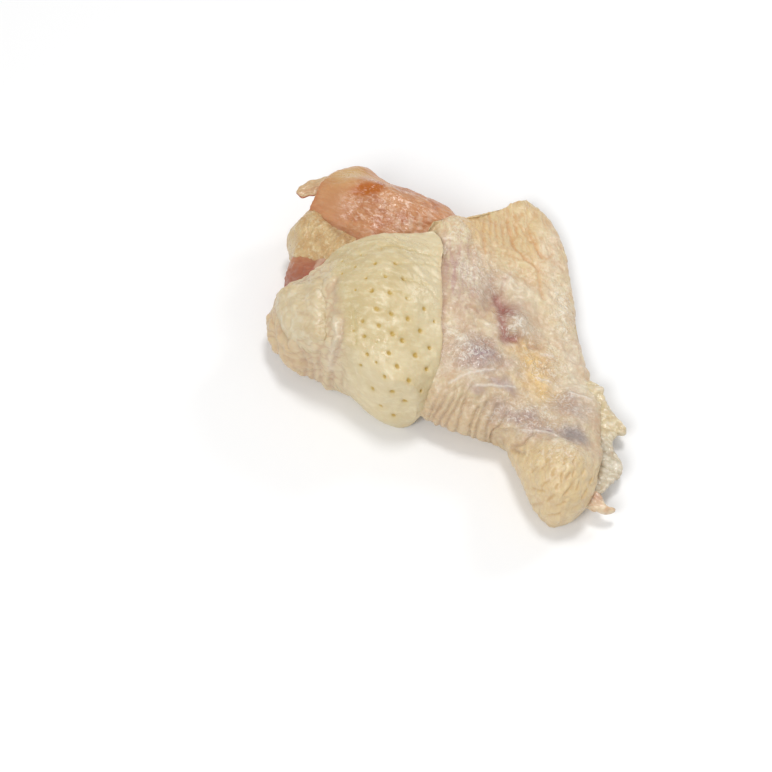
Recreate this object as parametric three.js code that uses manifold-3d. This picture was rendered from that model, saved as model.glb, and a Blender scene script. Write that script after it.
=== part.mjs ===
// A raw chicken wing joint, the upper arm (drumette) with its loose skin, lying on a table with its
// broad side up. It is cut through at the shoulder, where the pink muscle and lumps of fat show, and
// torn through at the elbow. The pored skin that covered the edge of the breast is folded over the
// thin skin of the wing web, which is stretched over the arm and gathered in folds towards the elbow.
//
// Millimetres, +Z up. X runs from the shoulder side (-) to the web side (+), and Y from the elbow (-)
// to the shoulder (+). The origin is on the table under the middle of the joint's box.

import * as THREE from 'three';
import { mergeVertices } from 'three/addons/utils/BufferGeometryUtils.js';
import Module from 'manifold-3d';

// ---- driving dimensions -------------------------------------------------------------------------
const GAP = 0.35; // clearance between pieces that touch
const TABLE = 0; // height of the surface that the joint lies on
const CREST = 31; // height of the pored skin at its crest
const FLANK = 17; // height that the pored skin falls to around its crest
const WEB_CREST = 23; // height of the web skin beside the pored skin
const WEB_EDGE = 7; // height that the web skin falls to at its free edge
const STUMP = 17.5; // height of the elbow stump
const MUSCLE = 25; // height of the muscle, at its ridge and under the skin
const LOBE = 1.2; // rise of the lobe of fat over the pored skin
const CENTRE = [-0.8, 3.8]; // middle of the joint's box in the frame that the curves are drawn in

const wasm = await Module();
wasm.setup();

// ---- shaping helpers ----------------------------------------------------------------------------

// A smooth curve through a few [x, y, z] points.
function curve(points) {
  const knots = points.map((p) => new THREE.Vector3(...p));
  return new THREE.CatmullRomCurve3(knots, false, 'catmullrom', 0.5);
}

// A soft hill (or, below zero, a hollow) of the given height, with half-widths rx and ry, turned by
// turn degrees. The hill falls to 1/e of its height at its half-widths.
function hill(x, y, at, rx, ry, turn, height) {
  const a = THREE.MathUtils.degToRad(turn);
  const dx = x - at[0];
  const dy = y - at[1];
  const u = (dx * Math.cos(a) + dy * Math.sin(a)) / rx;
  const v = (dy * Math.cos(a) - dx * Math.sin(a)) / ry;
  return height * Math.exp(-u * u - v * v);
}

const smooth = (from, to, value) => THREE.MathUtils.smoothstep(value, from, to);

// A soft closed form between two edge curves, left and right. Its rows run from edge to edge. The
// upper face rises from the edges to top(x, y), and the lower face falls to base(x, y). Both close
// together at the first and last row, over the share of the length given by ends. The middle of the
// first rows is drawn along Y by dip.
function pillow({ left, right, rows, across, crown = 2.6, ends = [0.12, 0.12], dip = 0, top, base }) {
  const a = curve(left);
  const b = curve(right);
  const positions = [];
  const upper = [];
  const lower = [];
  for (let i = 0; i <= rows; i++) {
    const w = i / rows;
    const p = a.getPoint(w);
    const q = b.getPoint(w);
    const start = Math.min(1, w / ends[0]);
    const finish = Math.min(1, (1 - w) / ends[1]);
    const closing = Math.sqrt(start * (2 - start)) * Math.sqrt(finish * (2 - finish));
    upper.push([]);
    lower.push([]);
    for (let j = 0; j <= across; j++) {
      const c = -Math.cos((Math.PI * j) / across);
      const rim = p.clone().lerp(q, (c + 1) / 2);
      rim.y += dip * (1 - c * c) * Math.max(0, 1 - w / 0.15) ** 2;
      const rise = Math.sqrt(1 - Math.abs(c) ** crown) * closing;
      const fall = Math.sqrt(1 - c * c) * closing;
      const high = rim.z + (top(rim.x, rim.y) - rim.z) * rise;
      const low = rim.z - (rim.z - base(rim.x, rim.y)) * fall;
      upper[i].push(positions.length / 3);
      positions.push(rim.x, rim.y, Math.max(high, TABLE));
      const edge = i === 0 || i === rows || j === 0 || j === across;
      if (edge) {
        lower[i].push(upper[i][j]);
      } else {
        lower[i].push(positions.length / 3);
        positions.push(rim.x, rim.y, Math.max(low, TABLE));
      }
    }
  }
  const faces = [];
  const quad = (k, l, m, n) => faces.push(k, l, m, k, m, n);
  for (let i = 0; i < rows; i++) {
    for (let j = 0; j < across; j++) {
      quad(upper[i][j], upper[i + 1][j], upper[i + 1][j + 1], upper[i][j + 1]);
      quad(lower[i][j], lower[i][j + 1], lower[i + 1][j + 1], lower[i + 1][j]);
    }
  }
  const geometry = new THREE.BufferGeometry();
  geometry.setAttribute('position', new THREE.Float32BufferAttribute(positions, 3));
  geometry.setIndex(faces);
  return geometry;
}

// The same form, swollen by a distance along its normals, to cut its neighbours with.
function swollen(geometry, distance) {
  const made = mergeVertices(geometry.clone(), 1e-4);
  made.computeVertexNormals();
  const place = made.getAttribute('position');
  const normal = made.getAttribute('normal');
  for (let i = 0; i < place.count; i++) {
    place.setXYZ(
      i,
      place.getX(i) + normal.getX(i) * distance,
      place.getY(i) + normal.getY(i) * distance,
      place.getZ(i) + normal.getZ(i) * distance,
    );
  }
  made.deleteAttribute('normal');
  return made;
}

// A closed geometry as a manifold solid.
function solid(geometry) {
  const merged = mergeVertices(geometry, 1e-4);
  return new wasm.Manifold(
    new wasm.Mesh({
      numProp: 3,
      vertProperties: new Float32Array(merged.getAttribute('position').array),
      triVerts: new Uint32Array(merged.index.array),
    }),
  );
}

// Several forms joined into one, and the largest body left of it when the others, swollen by the
// gap, are cut away.
function fitted(forms, ...others) {
  let made = solid(forms[0]);
  for (const form of forms.slice(1)) made = made.add(solid(form));
  for (const other of others) {
    made = made.subtract(solid(swollen(other, GAP)).add(solid(other)));
  }
  const bodies = made.decompose().sort((p, q) => q.volume() - p.volume());
  const mesh = bodies[0].getMesh();
  const result = new THREE.BufferGeometry();
  result.setAttribute('position', new THREE.Float32BufferAttribute(mesh.vertProperties, 3));
  result.setIndex(new THREE.BufferAttribute(mesh.triVerts, 1));
  return result;
}

// ---- muscle -------------------------------------------------------------------------------------
// The arm's muscle, bare at the shoulder and running under the skin to the elbow.
const muscle = pillow({
  left: [
    [-34, 42.5, 10], [-39, 33, 9], [-42.5, 21, 8], [-40, 10, 8], [-32, 0, 8], [-20, -10, 7],
    [-5, -12, 6], [6, -16, 6], [14, -24, 6], [23, -34, 6],
  ],
  right: [
    [-32, 46, 12], [-29, 51, 13.5], [-25.8, 53.6, 13.5], [-20.3, 54.4, 13.5], [-14, 49.6, 13.5],
    [-6.5, 45.4, 13.5], [2, 41, 12.5], [6, 31, 9], [10, 14, 7], [15, -8, 7], [27, -34, 7],
  ],
  rows: 32,
  across: 14,
  ends: [0.1, 0.2],
  top: (x, y) =>
    MUSCLE - 11 +
    hill(x, y, [-14, 41], 22, 8, -16, 11) +
    hill(x, y, [-20, 8], 18, 18, 0, 11) +
    hill(x, y, [-25, 53], 8, 4, 0, 4) +
    hill(x, y, [22, 0], 12, 40, 0, -6),
  base: () => TABLE - 1,
});

// ---- skin of the wing web -----------------------------------------------------------------------
// Thin skin stretched from the fold to the web's free edge, then gathered round the elbow.
const webTop = (x, y) =>
  WEB_EDGE +
  hill(x, y, [-6, 6], 24, 36, 0, WEB_CREST - WEB_EDGE) +
  hill(x, y, [4, -14], 12, 10, 0, 3) +
  hill(x, y, [1, 32], 9, 8, 0, 5) +
  hill(x, y, [15, -14], 9, 12, 0, 2) +
  hill(x, y, [26.5, -37], 12, 17, -20, STUMP - WEB_EDGE) +
  hill(x, y, [12.5, 10], 3.5, 6, -20, -3) +
  hill(x, y, [18, 5], 5, 4, 0, 1.5) +
  hill(x, y, [29.5, -27], 5, 4, -20, -1.2);
const web = pillow({
  left: [
    [-3.5, 31, 22], [-6, 27, 19], [-12, 13, 14], [-14.5, 2, 12], [-13.5, -9, 10],
    [-8, -17, 8], [-2, -20.5, 8], [3.5, -23, 8], [9, -24, 8], [12.5, -24.5, 8],
    [15.3, -31.5, 8], [18.3, -39, 8], [21.8, -45, 8],
  ],
  right: [
    [22.5, 52.5, 3.5], [27.5, 46, 3.5], [31.6, 37, 3], [33, 23, 3], [34, 7.5, 3],
    [36, -4.5, 4], [37.5, -11.5, 5], [37.5, -25.5, 6.5], [36.5, -33, 8], [34, -41.5, 8.5],
    [30.5, -45.5, 8], [26, -47, 8],
  ],
  rows: 48,
  across: 16,
  crown: 3,
  ends: [0.05, 0.08],
  dip: -1.4,
  top: webTop,
  base: (x, y) => TABLE - 1 + 3 * smooth(10, 34, x) * smooth(-20, 5, y),
});

// ---- pored skin ---------------------------------------------------------------------------------
// The thick skin from the edge of the breast.
const poredTop = (x, y) => FLANK + hill(x, y, [-15, 6], 20, 24, 0, CREST - FLANK);
const pored = pillow({
  left: [
    [-24, 24.5, 22], [-28.5, 22.5, 20.5], [-32, 19, 17], [-36, 18, 13], [-41.5, 17, 9.5],
    [-44.5, 12.5, 8.5], [-45.5, 8, 8], [-44, 3, 8], [-40.5, -2.5, 8], [-34, -5.5, 8],
    [-28.5, -7.5, 8], [-24, -12, 8], [-18, -16.5, 8], [-13, -18, 8],
  ],
  right: [
    [-3.5, 28.6, 21.2], [-1.5, 24.8, 21.4], [-1.5, 13.5, 22.7], [-1.5, 2.2, 22.9],
    [-2, -8, 20.5], [-3.5, -13.5, 16], [-5.5, -16.5, 11], [-8, -18, 8],
  ],
  rows: 36,
  across: 14,
  crown: 3,
  ends: [0.06, 0.08],
  top: poredTop,
  base: (x, y) => Math.max(TABLE, 0.35 * (x + 20) + 0.45 * (y + 6)),
});

// ---- lumps of fat -------------------------------------------------------------------------------
// Yellow fat between the muscle and the skin at the shoulder.
const shoulderFat = pillow({
  left: [[-41.2, 31.5, 9], [-38.6, 25.5, 8], [-34, 20.5, 9], [-28.5, 20, 14], [-24.5, 22, 20]],
  right: [
    [-40.7, 36, 10], [-37.5, 38.5, 11], [-34.5, 41, 13], [-30, 33, 18], [-26, 27.5, 22],
    [-23, 25, 23],
  ],
  rows: 14,
  across: 8,
  ends: [0.25, 0.2],
  top: (x, y) => 17 + 0.5 * (x + 36) + hill(x, y, [-36, 34], 5, 5, 0, 1),
  base: () => 2,
});

// A cream lobe of fat folded over the left side of the pored skin.
const fatLobe = pillow({
  left: [
    [-43, 11.5, 12], [-43.3, 9.5, 12.6], [-42.6, 5.4, 14], [-40.6, 1.7, 15.3], [-38.2, -1.7, 16.3],
    [-35.3, -4.2, 17.3], [-31.8, -5.3, 18.8], [-30, -5, 20],
  ],
  right: [
    [-42, 12.9, 12.8], [-37.3, 12.8, 17.5], [-33.5, 13.2, 21], [-30.5, 12.6, 23.3],
    [-29.3, 9, 24.6], [-29.4, 5, 24.6], [-30.1, 1, 23.8], [-29.8, -2.7, 22.2], [-29.6, -4.6, 20.3],
  ],
  rows: 20,
  across: 12,
  ends: [0.1, 0.08],
  top: (x, y) => poredTop(x, y) + LOBE,
  base: () => 10,
});

// ---- scraps at the cuts -------------------------------------------------------------------------
const shoulderTag = pillow({
  left: [[-38.8, 45, 15], [-36.5, 43.5, 15], [-34, 43, 15], [-30, 44, 15]],
  right: [[-39, 46.6, 15], [-37, 48, 15], [-34.5, 50.2, 15], [-30.5, 52, 15]],
  rows: 8,
  across: 6,
  ends: [0.2, 0.2],
  top: () => 16.5,
  base: () => 13.3,
});
const elbowTag = pillow({
  left: [[31, -42, 6], [35.5, -43.8, 5], [38.8, -43.6, 5]],
  right: [[35, -38, 6], [37, -40, 5], [39.6, -42.4, 5]],
  rows: 8,
  across: 6,
  ends: [0.2, 0.3],
  top: () => 7,
  base: () => 3,
});
const membrane = pillow({
  left: [[34, -7, 6], [34, -14, 6], [34, -22, 6], [34, -30, 6], [33, -39, 6]],
  right: [
    [36, -6.5, 5.5], [39, -8.5, 5], [39.5, -12, 5], [41, -15, 5], [44, -21, 5], [41.5, -22.5, 5],
    [40.5, -26, 5], [42, -30, 5], [42, -33.5, 5], [39.5, -36, 5], [36.5, -39, 5.5],
  ],
  rows: 24,
  across: 4,
  crown: 5,
  ends: [0.04, 0.04],
  top: () => 6.4,
  base: () => 3.4,
});

// ---- assembly -----------------------------------------------------------------------------------
function material(color, roughness) {
  return new THREE.MeshStandardMaterial({ color, roughness, metalness: 0 });
}

const wing = new THREE.Group();
function add(name, geometry, made) {
  const mesh = new THREE.Mesh(geometry.translate(-CENTRE[0], -CENTRE[1], -TABLE), made);
  mesh.name = name;
  wing.add(mesh);
}

add('muscle', fitted([muscle, shoulderTag]), material('#c78d6a', 0.35));
add('web_skin', fitted([web, membrane, elbowTag], muscle), material('#cdb397', 0.4));
add('pored_skin', fitted([pored], muscle, web), material('#cfba89', 0.45));
add('shoulder_fat', fitted([shoulderFat], muscle, pored), material('#c6a679', 0.45));
add('fat_lobe', fitted([fatLobe], muscle, pored), material('#d5c6a3', 0.45));

export default wing;
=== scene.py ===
import itertools
import math

import bpy
import numpy as np
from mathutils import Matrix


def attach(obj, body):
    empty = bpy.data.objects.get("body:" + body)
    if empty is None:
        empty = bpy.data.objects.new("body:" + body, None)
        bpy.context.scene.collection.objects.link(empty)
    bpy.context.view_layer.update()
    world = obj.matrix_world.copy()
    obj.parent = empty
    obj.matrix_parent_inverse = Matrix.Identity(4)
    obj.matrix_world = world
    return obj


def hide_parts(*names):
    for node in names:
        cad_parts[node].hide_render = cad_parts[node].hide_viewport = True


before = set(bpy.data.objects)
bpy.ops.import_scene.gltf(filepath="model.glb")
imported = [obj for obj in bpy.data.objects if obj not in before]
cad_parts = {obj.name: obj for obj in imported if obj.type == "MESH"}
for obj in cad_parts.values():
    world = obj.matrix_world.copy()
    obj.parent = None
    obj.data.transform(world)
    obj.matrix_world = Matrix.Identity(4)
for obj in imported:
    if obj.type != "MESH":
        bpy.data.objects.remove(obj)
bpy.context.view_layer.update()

# ---- Muscle --------------------------------------------------------------------------------------
# The arm's muscle is bare where the joint was cut at the shoulder: pink, wet and finely fibred, with
# a pale end of gristle and an orange stain under its film. It runs on under the skin to the elbow.

CENTRE = (-0.8, 3.8, 0.0)  # middle of the joint's box, in the millimetres that the shapes are drawn in
AIM = (-15.5, -8.7, 6.6)   # the place that the camera looks at
REACH = 455.6              # from the camera to that place
SLOPE = math.radians(58)   # of the camera's view, down to the table
LENS, SENSOR = 85, 36      # focal length of the camera and width of its sensor, in mm
PICTURE = 772              # pixels across the camera's picture, in which marks are placed
FIBRES = -24               # direction of the muscle's fibres, in degrees from +X
DRAWN = -28                # direction in which the pored skin is drawn, in degrees from +X


def through(points, at):
    """Points of a smooth curve at the given places, counted in knots. Between two knots it is the
    cubic whose slope at each is half the step from the knot before to the knot after."""
    p = np.array(points, float)
    p = np.vstack([2 * p[0] - p[1], p, 2 * p[-1] - p[-2]])
    i = np.minimum(at.astype(int), len(points) - 2)
    f = (at - i)[:, None]
    a, b, c, d = p[i], p[i + 1], p[i + 2], p[i + 3]
    return b + 0.5 * f * (c - a + f * (2 * a - 5 * b + 4 * c - d + f * (3 * (b - c) + d - a)))


def paced(shape, low, high, run, rise, count):
    """Places from low to high with equal steps along the curve that is run wide and rise tall."""
    t = low + (high - low) * (1 - np.cos(np.linspace(0, math.pi, 8001))) / 2
    step = np.hypot(np.diff(t) * run / (high - low), np.diff(shape(t)) * rise)
    along = np.concatenate([[0], np.cumsum(step)])
    return np.interp(np.linspace(0, along[-1], count), along, t)


def hill(x, y, at, rx, ry, turn, height):
    """Height falling as exp(-u²-v²), u and v being the turned distances over the half-widths."""
    a = math.radians(turn)
    u = ((x - at[0]) * math.cos(a) + (y - at[1]) * math.sin(a)) / rx
    v = ((y - at[1]) * math.cos(a) - (x - at[0]) * math.sin(a)) / ry
    return height * np.exp(-u * u - v * v)


def pillow(left, right, top, base, rows, upper, lower, crown=2.6, ends=(0.12, 0.12), tall=12, dip=0):
    """A closed soft form between two edge curves, made of rings. c runs from -1 to 1 and back round
    each ring: the upper half rises from the rim to top(x, y) by the root of 1-|c|^crown, and the
    lower half falls to base(x, y) by the root of 1-c². Both close at the first and last ring by
    quarter ellipses, and dip draws the first ring's middle in. Each end is closed by short faces
    from its upper to its lower half. Returns the points, the faces between the rings and the ends'."""
    length = np.linalg.norm(np.subtract(left[-1], left[0]))
    width = np.linalg.norm(np.subtract(left[len(left) // 2], right[len(right) // 2]))

    def closing(w):
        """How far the form is open at w: 0 at both ends, 1 past the quarter ellipses."""
        start, finish = np.minimum(1, w / ends[0]), np.minimum(1, (1 - w) / ends[1])
        return np.sqrt(np.clip(start * (2 - start) * finish * (2 - finish), 0, 1))

    w = paced(closing, 2e-6, 1 - 2e-6, length, tall, rows + 1)
    over = paced(lambda t: np.sqrt(1 - abs(t) ** crown), -1, 1, width, tall, upper + 1)
    under = paced(lambda t: np.sqrt(1 - t * t), -1, 1, width, tall, lower + 1)[-2:0:-1]
    c = np.concatenate([over, under])[None, :, None]
    a = through(left, w * (len(left) - 1))[:, None]
    b = through(right, w * (len(right) - 1))[:, None]
    place = a + (b - a) * (c + 1) / 2
    place[..., 1] += dip * (1 - c[..., 0] ** 2) * np.maximum(0, 1 - w[:, None] / 0.15) ** 2
    x, y, z = place[..., 0], place[..., 1], place[..., 2]
    shut = closing(w)[:, None]
    c = c[0, :, 0]
    high = z + (top(x, y) - z) * np.sqrt(1 - abs(c) ** crown) * shut
    low = z - (z - base(x, y)) * np.sqrt(1 - c * c) * shut
    place[..., 2] = np.where(np.arange(len(c)) <= upper, high, low)
    n = len(c)
    i = np.arange(rows * n).reshape(rows, n)
    quads = np.stack([i, i + n, np.roll(i, -1, 1) + n, np.roll(i, -1, 1)], -1).reshape(-1, 4)
    i = np.arange(upper + 1)
    under = -np.round(i * (n - upper) / upper).astype(int) % n
    cap = np.stack([i[:-1], i[1:], under[1:], under[:-1]], -1)
    caps = [list(dict.fromkeys(face)) for face in [*cap.tolist(), *(cap[:, ::-1] + rows * n).tolist()]]
    return place.reshape(-1, 3), quads, [face for face in caps if len(face) > 2]


def outward(place, quads):
    """Normals of the points: the sum of their quads' diagonal cross products, made of unit length
    but for the points whose quads are tiny, as at a corner, which hardly move."""
    p = place[quads]
    cross = np.cross(p[:, 2] - p[:, 0], p[:, 3] - p[:, 1])
    total = np.stack([sum(np.bincount(quads[:, k], cross[:, j], len(place)) for k in range(4))
                      for j in range(3)], -1)
    return total / (np.linalg.norm(total, axis=1, keepdims=True) + 0.01)


def lumps(place, size, seed):
    """Smooth random heights between about -1 and 1. Each corner of a lattice of cubes of the given
    size has a random slope, and the heights that the slopes give are blended with 6t⁵-15t⁴+10t³."""
    q = place / np.asarray(size, float) + 37.3
    i = np.floor(q).astype(np.int64)
    f = q - i
    ease = f ** 3 * (f * (6 * f - 15) + 10)
    total = np.zeros(len(place))
    for corner in itertools.product((0, 1), repeat=3):
        k = (i + corner).astype(np.uint64)
        h = k[:, 0] * 73856093 ^ k[:, 1] * 19349663 ^ k[:, 2] * 83492791 ^ np.uint64(seed * 2654435761)
        for mixer in (1274126177, 2246822519, 3266489917):
            h = ((h ^ (h >> np.uint64(15))) * np.uint64(mixer)) & np.uint64(0xFFFFFFFF)
        slope = np.stack([(h >> np.uint64(s)) & np.uint64(1023) for s in (0, 10, 20)], -1) / 511.5 - 1
        total += np.prod(np.where(corner, ease, 1 - ease), axis=1) * ((f - corner) * slope).sum(1)
    return 1.9 * total


def pads(place, size, seed):
    """Rounded pads parted by sharp creases: the size of lumps without their sign, 0 in a crease."""
    return abs(lumps(place, size, seed))


def turned(place, degrees):
    """The places with x counted along the direction that is turned by degrees, and y across it."""
    a = math.radians(degrees)
    return place @ np.array([[math.cos(a), -math.sin(a), 0], [math.sin(a), math.cos(a), 0], [0, 0, 1]])


def seen(place, *marks):
    """The places of a surface that show at some marks of the camera's picture, each in pixels across
    and down. Of the surface's points within a pixel of the closest one, it is the one in front."""
    off = place - np.array(AIM)
    depth = REACH + math.cos(SLOPE) * off[:, 1] - math.sin(SLOPE) * off[:, 2]
    scale = LENS / SENSOR * PICTURE / depth
    across = PICTURE / 2 + scale * off[:, 0]
    down = PICTURE / 2 - scale * (math.sin(SLOPE) * off[:, 1] + math.cos(SLOPE) * off[:, 2])
    miss = [np.hypot(across - a, down - b) for a, b in marks]
    return [place[np.where(m < m.min() + 1, depth, np.inf).argmin()] for m in miss]


def to_table(curve):
    """The curve with one more place below its last, a little further in and close to the table."""
    return [*curve, curve[-1] + (0, 0.8, 3 - curve[-1][2])]


def near(place, wide, *curves):
    """Closeness to the nearest of some curves drawn on a surface: exp(-d²/wide²). A curve goes
    through marks of the camera's picture, or through places. It is followed in short steps between
    the surface's points that are nearest to it."""
    best = np.full(len(place), 99.0)
    for points in curves:
        points = seen(place, *points) if len(points[0]) == 2 else points
        line = through(points, np.linspace(0, len(points) - 1, 5 * len(points)))
        line = place[[((place - q) ** 2).sum(1).argmin() for q in line]]
        close = np.all((place > line.min(0) - 3 * wide) & (place < line.max(0) + 3 * wide), axis=1)
        p, found = place[close], best[close]
        for a, b in zip(line[:-1], line[1:]):
            step = b - a
            t = np.clip((p - a) @ step / (step @ step + 1e-9), 0, 1)
            found = np.minimum(found, np.linalg.norm(p - a - t[:, None] * step, axis=1))
        best[close] = found
    return np.exp(-(best / wide) ** 2)


def spot(place, at, wide):
    """Closeness to a point: exp(-d²) with d the distance over the half-width, one for each axis."""
    return np.exp(-(((place - at) / wide) ** 2).sum(1))


def rise(low, high, value):
    """0 below low, 1 above high, and 3t²-2t³ between."""
    t = np.clip((value - low) / (high - low), 0, 1)
    return t * t * (3 - 2 * t)


def shaped(name, form, lift, masks):
    """A mesh object of the form's points moved along their normals by lift (in mm) and kept above
    the table. Each mask becomes a value that its material reads from the surface."""
    place, quads, caps = form
    moved = place + outward(place, quads) * lift[:, None]
    moved[:, 2] = np.maximum(moved[:, 2], 0)
    mesh = bpy.data.meshes.new(name)
    mesh.from_pydata(((moved - CENTRE) / 1000).tolist(), [], quads.tolist() + caps)
    for key, value in masks.items():
        layer = mesh.attributes.new(key, "FLOAT", "POINT")
        layer.data.foreach_set("value", np.clip(value, 0, 1).astype(np.float32))
    mesh.polygons.foreach_set("use_smooth", np.ones(len(mesh.polygons), bool))
    made = bpy.data.objects.new(name, mesh)
    bpy.context.collection.objects.link(made)
    return made


def tint(red, green, blue):
    """A colour given as it looks on a screen, 0 to 255, as the shader's linear values."""
    c = np.array([red, green, blue]) / 255
    return (*np.where(c > 0.04045, ((c + 0.055) / 1.055) ** 2.4, c / 12.92), 1.0)


class Wire:
    """A socket of a material. Arithmetic on wires adds Math nodes."""

    def __init__(self, tree, socket=None):
        self.tree = tree
        self.socket = socket

    def node(self, kind, settings=None, sockets=None, out=0):
        """Any node, by its type, its settings and the values or wires of its sockets."""
        made = self.tree.nodes.new("ShaderNode" + kind)
        for key, value in (settings or {}).items():
            setattr(made, key, value)
        for key, value in (sockets or {}).items():
            if isinstance(value, Wire):
                self.tree.links.new(value.socket, made.inputs[key])
            else:
                made.inputs[key].default_value = value
        return Wire(self.tree, made.outputs[out])

    def math(self, operation, *values):
        """A Math node on values or wires."""
        return self.node("Math", {"operation": operation}, dict(enumerate(values)))

    def __add__(self, other):
        return self.math("ADD", self, other)

    def __sub__(self, other):
        return self.math("SUBTRACT", self, other)

    def __rsub__(self, other):
        return self.math("SUBTRACT", other, self)

    def __mul__(self, other):
        return self.math("MULTIPLY", self, other)

    __radd__ = __add__
    __rmul__ = __mul__

    def eased(self, low, high):
        """0 below low, 1 above high, smooth between."""
        return self.node("MapRange", {"interpolation_type": "SMOOTHSTEP"}, {0: self, 1: low, 2: high})

    def over(self, below, colour):
        """The colour where this wire is 1, over what is below it where it is 0."""
        return self.node("Mix", {"data_type": "RGBA"}, {0: self, 6: below, 7: colour}, out=2)

    def mask(self, name):
        """A value that the mesh carries under that name."""
        return self.node("Attribute", {"attribute_name": name}, out=2)

    def cloud(self, size, detail=2.0, rough=0.5, stretch=(1, 1, 1), turn=0, bend=0.0):
        """Noise from 0 to 1 with features of the given size in mm, stretched and turned."""
        place = self.node("TexCoord", out=3)
        scale = tuple(size * s / 1000 for s in stretch)
        place = self.node("Mapping", {"vector_type": "TEXTURE"},
                          {"Vector": place, "Rotation": (0, 0, math.radians(turn)), "Scale": scale})
        sockets = {"Vector": place, "Scale": 1.0, "Detail": detail, "Roughness": rough, "Distortion": bend}
        return self.node("TexNoise", None, sockets)


def finish(name, paint, flesh=0.12, depth=0.002, tones=(1.0, 0.5, 0.3), coat=0.4, film=0.16):
    """A moist material. paint(wire) gives its colour, its roughness and the heights of its fine
    relief in mm; the light that sinks in and the wet film are set on the shader."""
    made = bpy.data.materials.new(name)
    made.use_nodes = True
    tree = made.node_tree
    shader = tree.nodes["Principled BSDF"]
    wire = Wire(tree)
    colour, rough, height = paint(wire)
    bump = wire.node("Bump", None, {"Strength": 1.0, "Distance": 0.001, "Height": height})
    tree.links.new(colour.socket, shader.inputs["Base Color"])
    tree.links.new(rough.socket, shader.inputs["Roughness"])
    tree.links.new(bump.socket, shader.inputs["Normal"])
    shader.inputs["Subsurface Weight"].default_value = flesh
    shader.inputs["Subsurface Radius"].default_value = tones
    shader.inputs["Subsurface Scale"].default_value = depth
    shader.inputs["Coat Weight"].default_value = coat
    shader.inputs["Coat Roughness"].default_value = film
    shader.inputs["IOR"].default_value = 1.5
    return made


form = pillow(
    left=[(-34, 42.5, 10), (-38.5, 33, 9), (-41.2, 21, 8), (-40, 10, 8), (-32, 0, 8), (-20, -10, 7),
          (-5, -12, 6), (6, -16, 6), (14, -24, 6), (23, -34, 6)],
    right=[(-32, 46, 12), (-29, 51, 13.5), (-25.8, 53.6, 13.5), (-20.3, 54.4, 13.5), (-14, 49.6, 13.5),
           (-6.5, 45.4, 13.5), (2, 41, 12.5), (6, 31, 9), (10, 14, 7), (15, -8, 7), (27, -34, 7)],
    top=lambda x, y: 14 + hill(x, y, (-14, 41), 22, 8, -16, 11) + hill(x, y, (-20, 8), 18, 18, 0, 11)
    + hill(x, y, (-25, 53), 8, 4, 0, 4) + hill(x, y, (22, 0), 12, 40, 0, -6),
    base=lambda x, y: np.full(x.shape, -1.0),
    rows=300, upper=190, lower=70, ends=(0.1, 0.2))
place = form[0]
x, y, z = place.T
gristle = spot(place, (-25, 48, 19), (6.5, 5, 5))
bulge = spot(place, (-28.5, 39, 18), (4.5, 6.5, 7))
smooth = np.maximum(gristle, bulge)
stain = np.maximum(spot(place, (-20.4, 41, 22.5), (4.4, 1.5, 3)),
                   0.9 * near(place, 1.1, [(378, 189), (380, 184), (379, 181)]))
strings = near(place, 0.6, [(-9.3, 33.6, 20), (-9.1, 31, 18.5)], [(-6.9, 34.4, 20), (-6.6, 31.6, 18.5)],
               [(-12.5, 33.4, 19.5), (-12.2, 32, 19)], [(-4.5, 35.6, 19.5), (-4.4, 33.4, 19)])
along = turned(place, FIBRES)
fibres = lumps(along, (5, 0.7, 2.5), 3)
bundles = pads(along, (6, 2.2, 4), 5)
threads = lumps(along, (1.8, 0.9, 1.2), 6)
ragged = lumps(place, 1.5, 2)
tissue = near(place, 1.1, [(322, 259), (316, 266), (317, 274), (316, 282)])
tissue = rise(0.15, 0.85, tissue + 0.25 * ragged)
lift = (0.45 * lumps(place, 7, 4)
        + (1 - 0.8 * smooth) * (0.1 * fibres + 0.25 * bundles + 0.16 * threads)
        + 0.4 * bulge + 0.3 * gristle + 0.1 * strings
        - 0.3 * spot(place, (-20.4, 40.6, 22.5), (4, 1.2, 2)) + 0.2 * tissue
        - 0.15 * near(place, 1.6, [(357, 205), (349, 222), (339, 232)])
        - 0.3 * near(place, 0.6, [(400, 180), (423, 196), (440, 212)]))
muscle = shaped("muscle_flesh", form, lift, {
    "stain": stain * (1 + 0.5 * ragged), "gristle": gristle, "bulge": bulge, "strings": strings,
    "dark": rise(28, 20, y) * rise(-18, -32, x), "tissue": tissue,
    "blood": near(place, 0.4, [(312, 268), (314, 271)], [(305, 274), (308, 276)]),
    "wet": np.maximum(rise(0, 0.6, spot(place, (-15, 37, 21), (11, 7, 7))), 0.6 * gristle)})


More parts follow.
